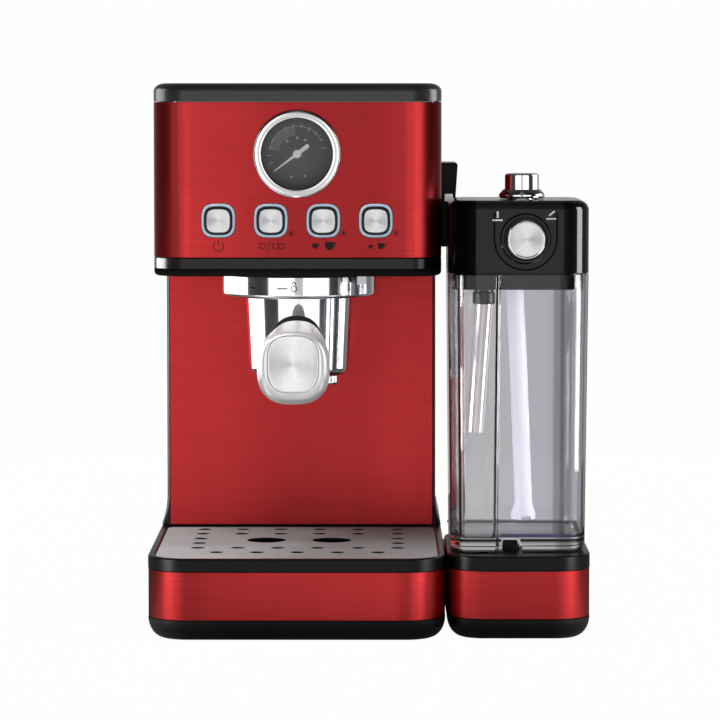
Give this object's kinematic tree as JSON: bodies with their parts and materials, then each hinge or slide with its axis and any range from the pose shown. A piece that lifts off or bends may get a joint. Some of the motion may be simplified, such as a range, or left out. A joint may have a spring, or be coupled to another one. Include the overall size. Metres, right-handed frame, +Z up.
{
  "type": "espresso machine",
  "caption": "Slim pump espresso machine with pressure gauge, push buttons, portafilter, drip tray, rear water tank and a side milk jug with frother lid.",
  "frame": {"origin": "centre of the footprint of the whole object, handle included, at the underside of the feet", "axes": "+Z up, front of the machine faces -Y, milk unit on the +X side"},
  "size_m": [0.228, 0.3628, 0.285],
  "materials": {
    "red_sheet": "red lacquer over brushed sheet, satin gloss",
    "black_plastic": "satin black moulding",
    "gloss_black": "gloss black moulding",
    "rubber_black": "matt rubber",
    "brushed_steel": "brushed",
    "chrome_plate": "polished",
    "satin_metal": "satin",
    "cast_metal": "as cast",
    "lit_ring": "milky light guide",
    "clear_plastic": "clear, faint violet grey",
    "smoke_plastic": "smoke tinted, clear",
    "silicone": "translucent silicone",
    "circuit_board": "solder mask",
    "dial_face": "printed dial",
    "needle_paint": "cream paint"
  },
  "bodies": {
    "machine": {"base_band": "red_sheet", "base_bracket": "cast_metal", "base_frame": "black_plastic", "base_pan": "black_plastic", "boiler": "cast_metal", "brew_collar": "chrome_plate", "brew_hose": "silicone", "column_panel": "red_sheet", "column_shell": "black_plastic", "control_board": "circuit_board", "cord_gland": "rubber_black", "cup_plate": "brushed_steel", "foot_front_left": "rubber_black", "foot_front_right": "rubber_black", "foot_rear_left": "rubber_black", "foot_rear_right": "rubber_black", "gauge_bezel": "brushed_steel", "gauge_case": "cast_metal", "gauge_dial": "dial_face", "gauge_lens": "clear_plastic", "group_head": "cast_metal", "group_seal": "rubber_black", "head_bezel": "black_plastic", "head_cap": "black_plastic", "head_frame": "black_plastic", "head_wrap": "red_sheet", "light_guide": "lit_ring", "milk_band": "red_sheet", "milk_boss": "black_plastic", "milk_deck": "black_plastic", "milk_foot_front": "rubber_black", "milk_foot_rear": "rubber_black", "milk_pan": "black_plastic", "pump": "cast_metal", "rear_cover": "black_plastic", "shower_screen": "brushed_steel", "steam_hose": "silicone"},
    "drip_tray": {"drip_tray": "black_plastic"},
    "drip_plate": {"drip_plate": "brushed_steel"},
    "button_1": {"button_1": "satin_metal"},
    "button_2": {"button_2": "satin_metal"},
    "button_3": {"button_3": "satin_metal"},
    "button_4": {"button_4": "satin_metal"},
    "gauge_needle": {"gauge_needle": "needle_paint"},
    "portafilter": {"portafilter_bowl": "chrome_plate", "filter_basket": "brushed_steel", "spout": "chrome_plate", "handle_neck": "black_plastic", "handle": "satin_metal", "handle_cap": "satin_metal"},
    "water_tank": {"water_tank": "smoke_plastic"},
    "tank_lid": {"tank_lid": "black_plastic"},
    "milk_jug": {"milk_jug": "clear_plastic"},
    "frother_lid": {"frother_lid": "gloss_black", "clean_ring": "chrome_plate", "froth_tube": "brushed_steel", "suction_tube": "silicone"},
    "clean_button": {"clean_button": "chrome_plate"},
    "control_knob": {"control_knob": "chrome_plate"}
  },
  "joints": [
    {"name": "button_1_press", "type": "slide", "parent": "machine", "child": "button_1", "axis": [0, 1, 0], "range_m": [0, 0.0012], "stiffness_N_per_m": 500},
    {"name": "button_2_press", "type": "slide", "parent": "machine", "child": "button_2", "axis": [0, 1, 0], "range_m": [0, 0.0012], "stiffness_N_per_m": 500},
    {"name": "button_3_press", "type": "slide", "parent": "machine", "child": "button_3", "axis": [0, 1, 0], "range_m": [0, 0.0012], "stiffness_N_per_m": 500},
    {"name": "button_4_press", "type": "slide", "parent": "machine", "child": "button_4", "axis": [0, 1, 0], "range_m": [0, 0.0012], "stiffness_N_per_m": 500},
    {"name": "needle_turn", "type": "hinge", "parent": "machine", "child": "gauge_needle", "pos_m": [-0.0373, -0.0804, 0.2485], "axis": [0, 1, 0], "range_deg": [0, 210], "stiffness_Nm_per_rad": 0.001},
    {"name": "portafilter_turn", "type": "hinge", "parent": "machine", "child": "portafilter", "pos_m": [-0.0373, -0.0314, 0.152], "axis": [0, 0, -1], "range_deg": [0, 45]},
    {"name": "tray_lift", "type": "slide", "parent": "machine", "child": "drip_tray", "axis": [0, 0, 1], "range_m": [0, 0.04]},
    {"name": "plate_lift", "type": "slide", "parent": "drip_tray", "child": "drip_plate", "axis": [0, 0, 1], "range_m": [0, 0.025]},
    {"name": "tank_lift", "type": "slide", "parent": "machine", "child": "water_tank", "axis": [0, 0, 1], "range_m": [0, 0.15]},
    {"name": "tank_lid_hinge", "type": "hinge", "parent": "water_tank", "child": "tank_lid", "pos_m": [-0.0373, 0.1782, 0.26415], "axis": [-1, 0, 0], "range_deg": [0, 100]},
    {"name": "jug_slide", "type": "slide", "parent": "machine", "child": "milk_jug", "axis": [0, -1, 0], "range_m": [0, 0.07]},
    {"name": "lid_lift", "type": "slide", "parent": "milk_jug", "child": "frother_lid", "axis": [0, 0, 1], "range_m": [0, 0.135]},
    {"name": "clean_button_press", "type": "slide", "parent": "frother_lid", "child": "clean_button", "axis": [0, 0, -1], "range_m": [0, 0.003], "stiffness_N_per_m": 600, "springref_m": -0.002},
    {"name": "control_knob_turn", "type": "hinge", "parent": "frother_lid", "child": "control_knob", "pos_m": [0.0803, -0.1014, 0.2054], "axis": [0, 1, 0], "range_deg": [-45, 45]}
  ]
}
